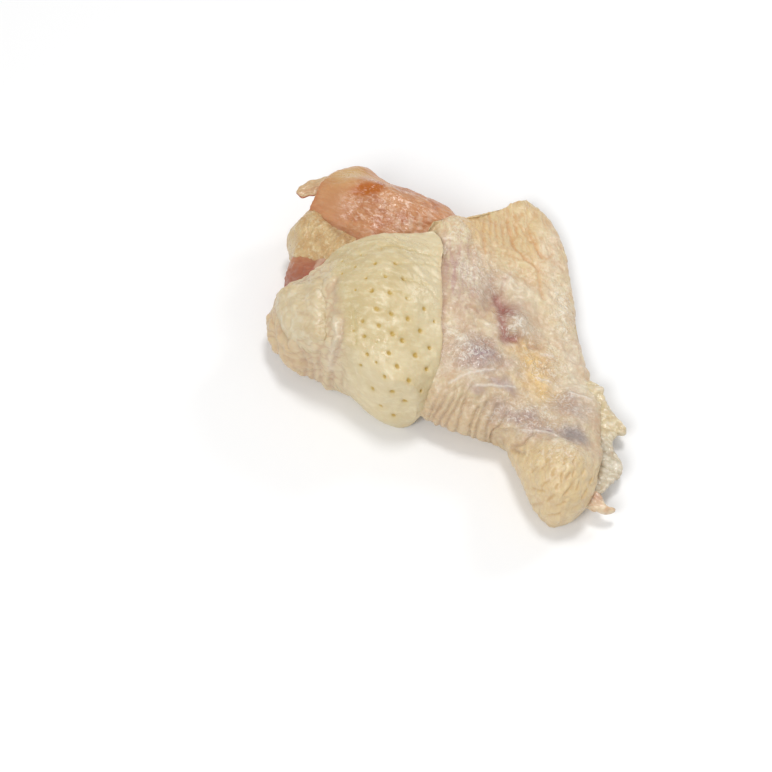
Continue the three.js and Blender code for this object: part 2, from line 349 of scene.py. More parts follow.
def flesh_paint(wire):
    """Pink fibred flesh, its pale end, the stain and the scraps of tissue on it."""
    mottle = wire.cloud(4, detail=4)
    grain = wire.cloud(0.5, detail=2, rough=0.7, stretch=(2.2, 1, 1), turn=-20)
    strands = wire.cloud(0.8, detail=3, stretch=(4, 1, 2), turn=FIBRES, bend=1)
    pearl = wire.cloud(0.85, detail=3, stretch=(1.9, 1, 1), turn=-30, bend=0.8)
    wet = wire.mask("wet")
    colour = mottle.eased(0.35, 0.65).over(tint(180, 117, 77), tint(196, 142, 98))
    colour = (strands.eased(0.45, 0.75) * 0.35).over(colour, tint(206, 160, 126))
    colour = (strands.eased(0.5, 0.3) * 0.25).over(colour, tint(166, 98, 70))
    colour = (wire.mask("bulge") * 0.75).over(colour, tint(191, 136, 92))
    colour = (wire.mask("gristle") * (0.6 + 0.6 * mottle)).over(colour, tint(202, 165, 104))
    # Partly painted shade: the lower left of the muscle is darker red-brown, as that meat is, and darker
    # still as painted shade on its recessed surface.
    colour = (wire.mask("dark") * 0.95).over(colour, tint(158, 94, 68))
    colour = (strands.eased(0.5, 0.8) * wire.mask("dark") * 0.3).over(colour, tint(190, 138, 110))
    # Painted highlight: pale pink-white specks where the flesh is wet, standing in for its wet glints.
    colour = (pearl.eased(0.5, 0.7) * 0.6 * wet).over(colour, tint(232, 202, 178))
    colour = (wire.mask("stain").eased(0.1, 0.7) * (0.6 + 0.7 * mottle)).over(colour, tint(174, 94, 18))
    colour = (wire.mask("strings").eased(0.2, 0.8) * 0.35).over(colour, tint(216, 190, 164))
    colour = (wire.mask("tissue") * (0.2 + 0.8 * mottle)).over(colour, tint(212, 184, 158))
    colour = (wire.mask("blood") * 0.8).over(colour, tint(172, 92, 72))
    rough = 0.4 - 0.22 * wet + 0.2 * (grain - 0.5)
    height = 0.04 * strands + 0.06 * grain + (0.06 + 0.28 * wet) * pearl
    return colour, rough, height


muscle.data.materials.append(finish("raw_muscle", flesh_paint, flesh=0.2, coat=0.2, film=0.2))
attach(muscle, "root")
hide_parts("muscle")

# ---- Scrap of sinew at the shoulder --------------------------------------------------------------
# A torn flap of sinew that sticks out beside the cut muscle, which it is a part of. It is thin, and
# red where it tore.

form = pillow(
    left=[(-39, 45.6, 14.6), (-37.4, 44.4, 14.4), (-34.6, 45, 14.6), (-30, 45.4, 14.8)],
    right=[(-39.1, 46.3, 14.8), (-37.6, 48.2, 15), (-35, 50, 15), (-30.5, 51.5, 15)],
    top=lambda x, y: 15.2 + 0.06 * (x + 39), base=lambda x, y: np.full(x.shape, 14.2),
    rows=90, upper=50, lower=30, crown=5, ends=(0.12, 0.2), tall=1)
place = form[0]
lift = 0.4 * lumps(place, 2.5, 8) + 0.35 * pads(turned(place, 25), (3, 1.2, 1), 9) - 0.1
sinew = shaped("shoulder_sinew", form, lift, {
    "torn": near(place, 0.45, [(-39, 45.6, 14.6), (-37.4, 44.2, 14.4), (-34.6, 44.8, 14.4)]),
    "streak": near(place, 0.5, [(-37, 46, 15.6), (-34.6, 46.6, 15.8), (-31, 47.6, 16)])})


def sinew_paint(wire):
    """Tan sinew, red where it tore."""
    colour = wire.cloud(1.8).eased(0.3, 0.7).over(tint(188, 156, 116), tint(202, 176, 138))
    colour = (wire.mask("streak") * 0.5).over(colour, tint(188, 132, 96))
    colour = wire.mask("torn").eased(0.2, 0.9).over(colour, tint(166, 92, 62))
    return colour, 0.45 + 0.1 * (wire.cloud(1) - 0.5), 0.06 * wire.cloud(0.7)


sinew.data.materials.append(finish("sinew", sinew_paint))
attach(sinew, "root")
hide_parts("muscle")

# ---- Skin of the wing web ------------------------------------------------------------------------
# Thin moist skin stretched over the arm and out to the web's free edge. It is creased towards the
# corner, gathered in folds at the lower edge, and drawn round the elbow as a rough yellow stump.


def web_top(x, y):
    """Height of the web over the table: the slope from its crest, and the hills of arm and stump."""
    return (7 + hill(x, y, (-6, 6), 24, 36, 0, 16) + hill(x, y, (4, -14), 12, 10, 0, 3)
            + hill(x, y, (1, 32), 9, 8, 0, 5) + hill(x, y, (15, -14), 9, 12, 0, 2)
            + hill(x, y, (26.5, -37), 12, 17, -20, 10.5) + hill(x, y, (12.5, 10), 3.5, 6, -20, -3)
            + hill(x, y, (18, 5), 5, 4, 0, 1.5) + hill(x, y, (29.5, -27), 5, 4, -20, -1.2))


form = pillow(
    left=[(-3.5, 31, 22), (-6, 27, 19), (-12, 13, 14), (-14.5, 2, 12), (-13.5, -9, 10), (-8, -17, 8),
          (-2, -20.5, 8), (3.5, -23, 8), (9, -24, 8), (12.5, -24.5, 8), (15.3, -31.5, 8),
          (18.3, -39, 8), (21.8, -45, 8)],
    right=[(22.2, 52.4, 3.5), (24.3, 50.5, 3.5), (27.7, 46, 3.5), (31.6, 37, 3), (33, 23, 3),
           (34, 7.5, 3), (36, -4.5, 4), (37.5, -11.5, 5), (37.5, -25.5, 6.5), (36.5, -33, 8),
           (34, -41.5, 8.5), (30.5, -45.5, 8), (26, -47, 8)],
    top=web_top,
    base=lambda x, y: 3 * rise(10, 34, x) * rise(-20, 5, y) - 1,
    rows=400, upper=190, lower=50, crown=3, ends=(0.05, 0.08), dip=-1.4)
place = form[0]
x, y, z = place.T
loose = place + 0.9 * np.stack([lumps(place, 4, k) for k in (1, 2, 3)], -1)

corner = rise(25, 32, y - 0.1 * x) * rise(3, 7, x)
ripple = spot(place, (2.5, 17, 20), (5.5, 11.5, 8))
margin = rise(25, 30, x) * rise(-32, -24, y)
band = spot(place, (18, -17.5, 15), (9, 4, 6))
stump = rise(-27, -35, y + 0.3 * (x - 25))
plain = np.clip(1 - corner - ripple - 0.6 * margin - band - stump, 0, 1)
grains = (  # share of the surface, depth in mm, and the pads that wrinkle it
    (plain, 0.45, pads(loose, 3.2, 12)),
    (plain + 0.3 * margin + 0.3 * ripple + 0.5 * corner, 0.1, pads(loose, 1.5, 13)),
    (corner, 0.4, pads(turned(loose, 93), (9, 1.4, 5), 14)),
    (ripple, 0.3, pads(turned(loose, 90), (7, 1.0, 5), 15)),
    (margin, 0.3, pads(turned(loose, 4), (4, 1.3, 3), 16)),
    (band, 0.2, pads(turned(loose, -18), (5, 0.8, 3), 17)),
    (stump, 0.4, pads(turned(loose, 58), (4.5, 1.9, 5), 18)),
    (stump, 0.15, pads(turned(loose, 58), (2.2, 0.9, 3), 19)))
fine = sum(share * depth * (np.sqrt(pad * pad + 0.01) - 0.1) for share, depth, pad in grains)
# lines marks the creases between the pads, which the paint darkens as painted shade.
lines = sum(share * np.exp(-(pad / 0.12) ** 2) for share, depth, pad in grains)

GATHERS = [  # marks along each gather, from the arm down to the lower edge
    [(442, 384), (436, 398), (429, 414)], [(448, 384), (444, 398), (436, 412), (432, 419)],
    [(456, 386), (453, 398), (444, 414), (439, 423)], [(464, 386), (460, 398), (453, 412), (446, 425)],
    [(474, 383), (467, 395), (460, 412), (456, 426)], [(478, 409), (472, 421), (469, 430)],
    [(488, 404), (481, 416), (476, 430)], [(499, 405), (494, 414), (487, 426)],
    [(508, 412), (500, 424), (493, 434)]]
gathers = rise(-13.5, -19, y) * near(place, 0.42, *[to_table(seen(place, *marks)) for marks in GATHERS])
elbow = near(place, 0.55, [(509, 447), (520, 444), (526, 436), (532, 432)],
             [(508, 449), (515, 451), (523, 452)])
orange = np.maximum(near(
    place, 0.55,
    [(508, 219), (509, 225), (513, 235), (515, 248), (522, 255), (531, 262), (538, 268)],
    [(529, 227), (532, 237), (537, 249), (543, 257)]), 0.7 * near(
    place, 0.45,
    [(503, 224), (504, 235), (504, 243)], [(496, 221), (497, 232), (498, 242)],
    [(521, 223), (526, 232), (532, 241)], [(484, 221), (485, 237), (486, 252)],
    [(534, 240), (540, 251), (548, 257), (554, 252)], [(539, 268), (540, 283), (543, 297)],
    [(515, 215), (517, 225), (519, 236)], [(490, 213), (491, 223), (492, 233)]))
# curl, hook and bead also mark where the paint darkens grooves and the lower edges of bumps as painted shade.
curl = near(place, 0.5, [(511, 272), (503, 283), (500, 296), (494, 304), (486, 311)])
bend = [(497, 300), (502, 313), (502, 326), (506, 335), (516, 340)]
hook = near(place, 0.8, bend)
bead = near(place, 0.5, [(482, 330), (484, 338), (489, 343)], [(468, 306), (480, 310)],
            [(530, 346), (536, 346), (541, 347)])
# The raised whitish tendons, and two short strokes that are painted highlights of wet glints: (537, 377) to
# (551, 381) and (541, 354) to (553, 355).
cords_and_glints = near(
    place, 0.35, [(448, 383), (456, 379), (468, 373), (482, 369), (495, 367)],
    [(478, 385), (495, 385), (516, 386)], [(537, 377), (544, 379), (551, 381)],
    [(541, 354), (553, 355)], [(571, 391), (592, 400)],
    [(522, 430), (535, 429), (548, 430), (566, 437)])
slits = near(
    place, 0.34, [(576, 470), (574, 476)], [(571, 472), (568, 478)], [(573, 484), (565, 496)],
    [(580, 482), (577, 490)], [(558, 484), (555, 490)], [(562, 472), (561, 480)], [(555, 468), (551, 475)],
    [(553, 496), (546, 502)], [(543, 492), (531, 489)], [(565, 504), (556, 508)], [(588, 489), (582, 498)],
    [(594, 478), (591, 486)], [(559, 515), (548, 516)], [(547, 480), (540, 486)], [(535, 466), (529, 471)],
    [(586, 468), (584, 475)], [(540, 504), (532, 505)], [(546, 458), (540, 467)], [(567, 457), (564, 463)],
    [(577, 456), (575, 461)])
# hollow marks the dimple and the hook's groove, painted dark rose: partly the skin's tint, partly painted
# shade.
hollow = np.maximum(spot(loose, (14, 9.4, 14), (3.2, 4.6, 5)), 0.8 * near(loose, 2, bend))
blue = spot(place, (30.4, -26.6, 13), (4.6, 3.8, 5))
lump = rise(0.25, 0.6, spot(place, (2, 28.6, 20.5), (5.2, 4.8, 6)))
lift = (0.45 * lumps(place, 7, 11) + 0.22 * lumps(place, 2.2, 10) + fine - 0.25 - 0.5 * gathers - 0.5 * elbow
        - 0.3 * orange - 0.2 * curl - 0.3 * hook - 0.3 * bead + 0.2 * cords_and_glints - 0.22 * slits
        - 0.5 * blue + 0.4 * lump + 0.3 * spot(place, (18.2, 6, 14), (3, 2.8, 3))
        + 0.5 * spot(place, (11, 1.4, 17), (2.2, 2.4, 3)) + 0.3 * spot(place, (22.2, 3, 11.5), (2, 2, 3))
        + 0.2 * spot(place, (16.4, 17.5, 13), (1.8, 3, 3)) + 1.1 * spot(place, (1, 34.5, 19), (3.5, 3, 5))
        + 1.2 * spot(place, (12.8, 10, 14), (4, 6.5, 6)))


def patches(*spots):
    """The strongest of several soft patches, each given as strength, place and half-widths. Their
    outlines are made ragged by moving the places by up to 3 mm."""
    bent = place + 2.4 * np.stack([lumps(place, 5, k) for k in (21, 22, 23)], -1)
    bent = bent + 0.6 * lumps(place, 1.6, 24)[:, None]
    return np.max([strength * spot(bent, at, wide) for strength, at, wide in spots], axis=0)


web = shaped("web_skin_sheet", form, lift, {
    "lines": lines, "gathers": gathers ** 3 + elbow, "orange": orange, "curl": curl,
    "hook": hook + 0.5 * bead, "rose": hollow, "tan": rise(-12, -17, y) * rise(17, 10, x),
    "cords_and_glints": cords_and_glints, "ripple": ripple, "stump": stump, "slits": slits, "lump": lump,
    "corner": rise(22, 34, y + 0.35 * x) * (1 - 0.6 * rise(23, 29, x)), "blue": blue,
    # seam_shade marks where the raised rim of the pored skin shades the web.
    "seam_shade": near(place, 0.9, [(-1.4, 27, 20.5), (-1.2, 18, 21.5), (-1.2, 8, 22), (-1.4, 0, 22),
                              (-2, -8, 20.5)]),
    "mauve": patches(
        (0.3, (2.5, 17, 20), (5.5, 11.5, 8)), (0.5, (9.5, 14, 16), (4, 6, 6)),
        (1, (7, -7.5, 19), (9, 5.5, 6)), (1, (17, -21.5, 15.5), (7, 3.2, 4)),
        (1, (23, -25, 15), (6, 3, 4)), (0.8, (30, -16, 11), (6.5, 6.5, 6)),
        (0.9, (12.5, -14.5, 17), (8, 2.2, 4)), (0.45, (18, 6, 14), (6, 6, 6)), (0.7, (20, 0, 13), (3, 3, 4))),
    "yellow": patches(
        (1, (22.8, -10.5, 12.2), (5.2, 4.8, 5)), (1, (20, -3, 12.8), (5, 3.8, 4)),
        (0.7, (7.5, 34, 15), (3, 5, 5)),
        (0.5, (25.5, 34, 8), (3, 4, 4)), (0.5, (11.5, 6, 16), (2, 3, 3)), (0.4, (30, -41, 14), (4, 3, 4)),
        (0.4, (27.5, 12, 8), (3.5, 8, 4))),
    "pale": patches(
        (0.55, (18, 5.5, 14), (4, 3, 4)), (0.7, (11, 1.8, 17), (2.4, 2.6, 3)), (0.6, (19, 17, 11), (4, 6, 5)),
        (0.9, (15.4, 18.5, 13), (3, 3, 3)), (0.8, (29, 16, 8), (4, 12, 5)),
        (0.6, (4, -12.5, 19), (5, 1.6, 3)),
        (0.5, (25, -30, 17), (6, 2.5, 4)), (0.7, (6, 17.5, 18), (3, 4, 3)), (0.7, (32, 0, 7), (3, 7, 5)),
        (0.6, (1.5, -4.5, 21), (3, 3, 3)), (0.5, (28, -9, 9), (5, 2, 4)),
        (0.7, (32.5, -8, 8), (4, 7, 5)), (0.7, (27.5, 34, 8), (3, 8, 5)), (0.5, (7.5, 24, 16), (3, 3, 4))),
    "wet": patches(
        (1, (17, 4, 14), (6, 5, 5)), (1, (6, -6, 20), (9, 5, 6)), (0.9, (20, -22, 15), (10, 5, 5)),
        (0.9, (30, 14, 7), (3.5, 10, 5)), (0.9, (23, -6, 11), (7, 6, 6)), (0.7, (8, 18, 18), (7, 7, 6)),
        (0.8, (28, -15, 10), (5, 6, 5)), (0.5, (3, 30, 20), (5, 5, 5)), (0.6, (25, -33, 17), (9, 5, 5)))})


def web_paint(wire):
    """Thin skin, from its mottled ground up to the net of wet glints that is painted on it, with painted
    shade in its creases and grooves.
    """
    mottle = wire.cloud(4.5, detail=4)
    patch = wire.cloud(1.8, detail=4, rough=0.6)
    grain = wire.cloud(1.1, detail=2, bend=1)
    veil = wire.cloud(2.4, detail=3, rough=0.5, bend=1.2)
    threads_and_glints = 1 - wire.math("ABSOLUTE", veil - 0.5).eased(0.01, 0.07)
    streaks = wire.cloud(1, detail=3, stretch=(1, 6, 3), turn=-4)
    wet = wire.mask("wet")
    lines = wire.mask("lines")
    colour = mottle.eased(0.35, 0.65).over(tint(200, 173, 140), tint(210, 192, 155))
    colour = (patch.eased(0.48, 0.72) * 0.55).over(colour, tint(224, 210, 180))
    colour = (patch.eased(0.45, 0.25) * 0.45).over(colour, tint(190, 152, 128))
    colour = (wire.mask("tan") * 0.5).over(colour, tint(198, 174, 138))
    colour = (wire.mask("corner") * 0.7).over(colour, tint(214, 188, 138))
    colour = (wire.mask("lump") * 0.8).over(colour, tint(217, 203, 166))
    colour = (wire.mask("mauve") * (0.5 + 0.8 * mottle)).over(colour, tint(158, 134, 134))
    colour = (wire.mask("yellow") * (0.6 + 0.75 * patch)).over(colour, tint(222, 185, 118))
    colour = (wire.mask("pale") * (0.1 + 1.1 * patch)).over(colour, tint(230, 221, 200))
    colour = (wire.mask("stump") * 0.8).over(colour, tint(214, 190, 144))
    # Painted shade: the creases between the wrinkles' pads are darkened; in the ripple they are also mauve
    # and in the corner orange, as the skin is there.
    colour = (lines * 0.25).over(colour, tint(186, 148, 116))
    colour = (streaks.eased(0.48, 0.62) * wire.mask("ripple") * 0.6).over(colour, tint(182, 142, 134))
    colour = (lines * wire.mask("ripple") * 0.6).over(colour, tint(172, 134, 126))
    colour = (lines * wire.mask("corner") * 0.4).over(colour, tint(200, 150, 92))
    colour = (wire.mask("orange") * (0.25 + 0.7 * patch)).over(colour, tint(198, 140, 80))
    colour = (wire.mask("slits") * 0.45).over(colour, tint(188, 146, 84))
    # Partly painted shade: the dark rose of the dimple and the hook's groove is partly the skin's tint; the
    # curl, the hook's groove and the beads' lower edges are darkened as painted shade.
    colour = (wire.mask("rose") * (0.7 + 0.5 * mottle)).over(colour, tint(150, 95, 88))
    colour = (wire.mask("curl") * 0.4).over(colour, tint(176, 124, 106))
    colour = (wire.mask("hook") * 0.5).over(colour, tint(160, 104, 92))
    # Painted shade: darker brown in the valleys of the gathers and in the grooves at the elbow.
    colour = (wire.mask("gathers") * 0.4).over(colour, tint(158, 122, 98))
    # Painted shadow: a darker line on the web beside the raised rim of the pored skin.
    colour = (wire.mask("seam_shade") * 0.4).over(colour, tint(190, 152, 130))
    # Whitish tendons, and two strokes of painted highlight standing in for wet glints.
    colour = (wire.mask("cords_and_glints") * 0.5).over(colour, tint(226, 219, 208))
    colour = (wire.mask("blue").eased(0.1, 0.9) * 0.75).over(colour, tint(130, 119, 122))
    # Painted highlight: a net of white lines, faint everywhere and strong where the skin is wet, standing in
    # for wet glints.
    colour = (threads_and_glints * patch.eased(0.35, 0.6) * (0.08 + 0.55 * wet)).over(colour, tint(238, 232, 220))
    rough = 0.33 - 0.16 * wet + 0.2 * (grain - 0.5)
    height = 0.06 * patch + (0.16 + 0.3 * wet) * grain + (0.02 + 0.06 * wet) * threads_and_glints
    return colour, rough, height


web.data.materials.append(finish("web_skin", web_paint, coat=0.1, film=0.25))
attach(web, "root")
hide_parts("web_skin")

# ---- Torn film and scrap at the elbow ------------------------------------------------------------
# A ragged film of clear tissue that hangs out along the web's edge, and a pink scrap at the elbow,
# both left where the joint was cut from the middle of the wing.

form = pillow(
    left=[(34, -7, 6), (34, -14, 6), (34, -22, 6), (34, -30, 6), (33, -39, 6)],
    right=[(36, -6.5, 5.5), (39, -8.5, 5), (39.5, -12, 5), (41, -15, 5), (44, -21, 5), (41.5, -22.5, 5),
           (40.5, -26, 5), (42, -30, 5), (42, -33.5, 5), (39.5, -36, 5), (36.5, -39, 5.5)],
    top=lambda x, y: np.full(x.shape, 6.2), base=lambda x, y: np.full(x.shape, 4.0),
    rows=330, upper=90, lower=50, crown=5, ends=(0.04, 0.04), tall=1)
place = form[0]
x, y, z = place.T
shreds = pads(turned(place, -35), (3.2, 1.6, 2), 31)
lift = 0.5 * lumps(place, 3, 30) + 0.45 * shreds + 0.1 * lumps(place, 1, 32) - 0.3
film = shaped("elbow_film", form, lift, {
    "shreds": np.exp(-(shreds / 0.12) ** 2), "ridges": rise(0.35, 0.6, shreds), "clear": rise(-20, -26, y),
    "gap": patches((1, (37.5, -26.5, 5), (3.2, 1.2, 3)), (0.6, (36, -33, 5), (1.4, 3, 3)))})


def film_paint(wire):
    """Cream tissue, greyer where it is clear, with painted highlights on its ridges, painted shade in its
    creases and dark brown painted shade in its gap.
    """
    patch = wire.cloud(1.2, detail=3, rough=0.6)
    colour = wire.cloud(2).eased(0.3, 0.7).over(tint(198, 178, 138), tint(212, 195, 158))
    colour = (wire.mask("clear") * 0.7).over(colour, tint(192, 184, 166))
    colour = (patch.eased(0.5, 0.7) * 0.5).over(colour, tint(226, 217, 196))
    # Painted highlight on the ridges of the shreds, and painted shade in the creases between them.
    colour = (wire.mask("ridges") * 0.3).over(colour, tint(224, 216, 200))
    colour = (wire.mask("shreds") * 0.4).over(colour, tint(172, 150, 116))
    # Painted shade: dark brown where the film parts.
    colour = (wire.mask("gap") * 0.85).over(colour, tint(142, 112, 76))
    return colour, 0.34 + 0.2 * (patch - 0.5), 0.25 * patch


film.data.materials.append(finish("torn_film", film_paint, coat=0.3))
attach(film, "root")
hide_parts("web_skin")

form = pillow(
    left=[(31, -42, 6), (35, -43.4, 5.4), (37.4, -43.9, 5), (39.5, -43.4, 4.8)],
    right=[(35, -38, 6), (36.6, -39.8, 5.6), (37.4, -41.8, 5), (39.8, -42.6, 4.8)],
    top=lambda x, y: 6.6 - 0.12 * (x - 34), base=lambda x, y: np.full(x.shape, 3.6),
    rows=100, upper=60, lower=40, ends=(0.2, 0.3), tall=3)
place = form[0]
lift = 0.35 * pads(turned(place, -40), (3, 1.2, 2), 34) + 0.2 * lumps(place, 1.5, 35)
scrap = shaped("elbow_scrap", form, lift, {
    "pink": spot(place, (35, -40, 6.5), (2, 1.6, 3))})


def scrap_paint(wire):
    """Cream scrap with a pink middle."""
    colour = wire.cloud(1.6, detail=3).eased(0.35, 0.65).over(tint(200, 168, 134), tint(216, 196, 164))
    colour = (wire.mask("pink") * 0.7).over(colour, tint(190, 142, 116))
    return colour, 0.42 + 0.1 * (wire.cloud(1) - 0.5), 0.08 * wire.cloud(0.8)


scrap.data.materials.append(finish("elbow_scrap", scrap_paint))
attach(scrap, "root")
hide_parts("web_skin")

# ---- Pored skin ----------------------------------------------------------------------------------
# The thick cream skin from the edge of the breast, with the open pores that its feathers left. It is
# folded over the web, and soft lumps of fat fill its left side.


def pored_top(x, y):
    """Height of the pored skin over the table: one broad hill."""
    return 17 + hill(x, y, (-15, 6), 20, 24, 0, 14)


form = pillow(
    left=[(-24, 24.5, 22), (-28.5, 22.5, 20.5), (-32, 19, 17), (-36, 18, 13), (-41.5, 17, 9.5),
          (-44.5, 12.5, 8.5), (-45.5, 8, 8), (-44, 3, 8), (-40.5, -2.5, 8), (-34, -5.5, 8),
          (-28.5, -7.5, 8), (-24, -12, 8), (-18, -16.5, 8), (-13, -18, 8)],
    right=[(-3.5, 28.6, 21.2), (-1.5, 24.8, 21.4), (-1.5, 13.5, 22.7), (-1.5, 2.2, 22.9), (-2, -8, 20.5),
           (-3.5, -13.5, 16), (-5.5, -16.5, 11), (-8, -18, 8)],
    top=pored_top,
    base=lambda x, y: np.maximum(0, 0.35 * (x + 20) + 0.45 * (y + 6)),
    rows=310, upper=210, lower=90, crown=3, ends=(0.06, 0.08))
place = form[0]
x, y, z = place.T
loose = place + 0.9 * np.stack([lumps(place, 4, k) for k in (4, 5, 6)], -1)
PORES = [  # mark of each open pore in the picture and its size, 1 being about 1.2 mm across
    (371, 289, 0.8), (391, 291, 0.8), (408, 297, 0.4), (355, 289, 0.4), (376, 307, 0.9), (392, 312, 0.8),
    (409, 318, 0.9), (425, 307, 0.8), (362, 321, 0.5), (378, 325, 0.6), (393, 332, 1.0), (422, 330, 1.0),
    (436, 321, 0.4), (363, 335, 0.5), (376, 341, 0.3), (404, 340, 1.0), (431, 347, 0.8), (365, 355, 0.6),
    (389, 352, 0.7), (417, 354, 1.1), (428, 369, 0.8), (398, 366, 0.8), (358, 366, 0.5), (375, 362, 0.4),
    (383, 377, 0.7), (410, 380, 1.2), (372, 390, 0.9), (392, 393, 1.1), (405, 403, 1.1), (422, 392, 0.6),
    (380, 408, 0.8), (393, 417, 0.9), (352, 330, 0.35), (374, 262, 0.6), (396, 261, 0.6), (385, 274, 0.6),
    (405, 277, 0.6), (365, 277, 0.4), (355, 265, 0.4), (342, 260, 0.4), (360, 252, 0.3), (341, 273, 0.4),
    (380, 247, 0.3)]
pits = [(seen(place, mark)[0], size) for *mark, size in PORES]
uneven = 1 + 0.35 * lumps(place, 0.8, 40)
pores = np.max([rise(0, 0.5, s) * spot(place, at, 0.68 * s ** 0.5) for at, s in pits], axis=0) ** uneven
dishes = np.max([s * spot(place, at, 1.7) for at, s in pits], axis=0)
across = turned(place, DRAWN)
dashes = np.max([rise(0.2, 0.8, s) * spot(across, turned(at, DRAWN), (1.7, 0.45, 1.5))
                 for at, s in pits], axis=0)
furrows = near(
    place, 0.5, [(380, 245), (395, 245), (410, 247), (431, 253)],
    [(396, 261), (412, 262), (432, 262), (440, 265)],
    [(405, 277), (418, 281), (430, 286)], [(395, 291), (404, 294), (411, 299)], [(358, 251), (365, 253)],
    [(352, 311), (354, 328), (355, 346)])
crease = np.maximum(near(place, 0.8, [(336, 279), (332, 287), (334, 300)]),
                    0.8 * near(place, 0.9, [(331, 309), (334, 311), (338, 311)]))
FOLDS = [  # marks along each fold under the lobe, from the lobe down
    [(297, 345), (305, 360)], [(305, 350), (312, 365)], [(318, 352), (319, 366)], [(332, 370), (331, 384)]]
folds = near(place, 0.65, *[to_table(seen(place, *marks)) for marks in FOLDS],
             [(341, 320), (340, 335), (338, 350), (333, 365)])
strip = near(place, 0.6, [(353, 370), (355, 382), (358, 395)])
ridge = near(place, 1.0, [(334, 318), (336, 335), (333, 352), (331, 370)])
fatty = rise(-24, -29, x + 0.15 * y)
arcs = (0.45 + 0.55 * rise(-2, 6, y)) * (1 - fatty)
knots = pads(loose, 2.2, 43)
bands = pads(turned(loose, DRAWN), (7, 2.6, 4), 45)
lift = (0.5 * lumps(place, 8, 41) + 0.12 * lumps(place, 2.0, 42)
        + fatty * (0.7 * lumps(loose, 4, 44) + 0.55 * knots) + 0.3 * arcs * bands
        + 0.05 * lumps(place, 0.9, 46) - 0.5 * pores - 0.1 * dishes - 0.12 * dashes - 0.25 * furrows
        - 0.35 * crease - 0.5 * folds - 0.3 * strip + 0.5 * ridge - 0.1)
pored = shaped("pored_skin_fold", form, lift, {
    "pores": pores, "dishes": dishes, "furrows": furrows, "crease": crease, "folds": folds, "fatty": fatty,
    "lines": fatty * np.exp(-(knots / 0.12) ** 2) + 0.5 * arcs * np.exp(-(bands / 0.1) ** 2), "ridge": ridge,
    "edge": np.max([rise(18.5, 24.5, y + 0.1 * x), 0.8 * rise(-9, -3, x + 0.1 * z),
                    0.7 * rise(-7, -12, y) * (1 - fatty)], axis=0), "dashes": dashes,
    "side": rise(-30, -38, x) * rise(18, 9, z) + rise(-35, -40, x) * rise(14, 4, y) * 0.5,
    "rim": rise(-3.0, -1.6, x) * rise(28, 20, y + z * 0.1),
    "wet": patches((1, (-23, -3.5, 26.5), (2.6, 4, 4)), (1, (-8, 21, 25), (8, 3.5, 5)),
                   (0.8, (-5.5, 6, 26), (3, 6, 5)),
                   (0.8, (-18, -10, 25), (5, 3, 4)), (0.6, (-27, 14, 25), (3, 5, 5)))})


def pored_paint(wire):
    """Cream skin with ochre pores, paler along its edges and pinker in its fat."""
    mottle = wire.cloud(7, detail=3)
    patch = wire.cloud(1.6, detail=4, rough=0.6, stretch=(1.6, 1, 1), turn=-16)
    grain = wire.cloud(0.5, detail=2, rough=0.6)
    fatty = wire.mask("fatty")
    colour = mottle.eased(0.3, 0.7).over(tint(196, 177, 133), tint(205, 187, 145))
    colour = (patch.eased(0.45, 0.7) * 0.6).over(colour, tint(222, 210, 176))
    colour = (patch.eased(0.45, 0.25) * 0.3).over(colour, tint(198, 176, 126))
    colour = (fatty * (0.5 + 0.4 * patch)).over(colour, tint(210, 193, 163))
    colour = (wire.mask("dashes") * 0.3).over(colour, tint(196, 172, 118))
    colour = (wire.mask("edge") * 0.6).over(colour, tint(222, 208, 174))
    colour = (wire.mask("dishes") * 0.25).over(colour, tint(202, 180, 124))
    # Painted shade: darker on the low left side of the skin, which faces down and to the left.
    colour = (wire.mask("side") * 0.6).over(colour, tint(200, 172, 132))
    # Painted shade: darker in the creases between the fat's knots and between the arcs' bands, browner in the
    # fat.
    colour = (wire.mask("lines") * 0.35).over(colour, tint(196, 168, 122))
    colour = (wire.mask("lines") * fatty * 0.4).over(colour, tint(182, 144, 124))
    colour = (wire.mask("ridge") * 0.5).over(colour, tint(218, 206, 184))
    colour = (wire.mask("furrows") * 0.35).over(colour, tint(196, 174, 116))
    # Painted shade: darker in the crease beside the lobe and in the folds under it.
    colour = (wire.mask("crease") * 0.4).over(colour, tint(184, 150, 126))
    colour = (wire.mask("folds") * 0.4).over(colour, tint(186, 154, 134))
    # Painted shade: darker yellow-tan along the right rim, where the fold turns down to the web.
    colour = (wire.mask("rim") * 0.35).over(colour, tint(206, 174, 128))
    colour = wire.mask("pores").eased(0.15, 0.8).over(colour, tint(188, 156, 78))
    rough = 0.36 - 0.16 * wire.mask("wet") + 0.2 * (grain - 0.5)
    height = 0.1 * patch + 0.05 * grain + wire.mask("wet") * 0.3 * wire.cloud(1.3, bend=1)
    return colour, rough, height


pored.data.materials.append(finish("pored_skin", pored_paint, coat=0.1, film=0.3))
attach(pored, "root")
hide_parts("pored_skin")

# ---- Fat -----------------------------------------------------------------------------------------
# Grainy yellow fat between the muscle and the skin at the shoulder, and a smooth cream lobe of fat
# folded over the left side of the pored skin.

